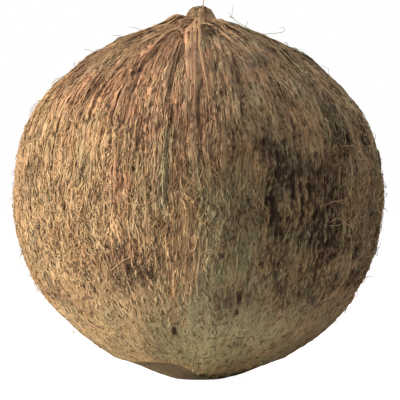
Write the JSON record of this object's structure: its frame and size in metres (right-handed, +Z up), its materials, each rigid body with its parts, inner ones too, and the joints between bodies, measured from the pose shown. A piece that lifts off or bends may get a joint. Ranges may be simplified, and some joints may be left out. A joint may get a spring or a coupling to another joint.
{
  "type": "coconut",
  "caption": "Whole dehusked coconut: a round brown nut in its coir coat, gathered into a knot on top, resting on a small flat spot.",
  "frame": {"origin": "middle of the small flat spot that the nut stands on, at its blossom end", "axes": "+Z up through the knot at the stem end; -Y is the front, where the coir reaches furthest under the nut; the knot leans to +X"},
  "size_m": [0.1196, 0.1196, 0.1206],
  "materials": {
    "coir": "matte"
  },
  "bodies": {
    "root": {"coconut": "coir"}
  },
  "joints": []
}
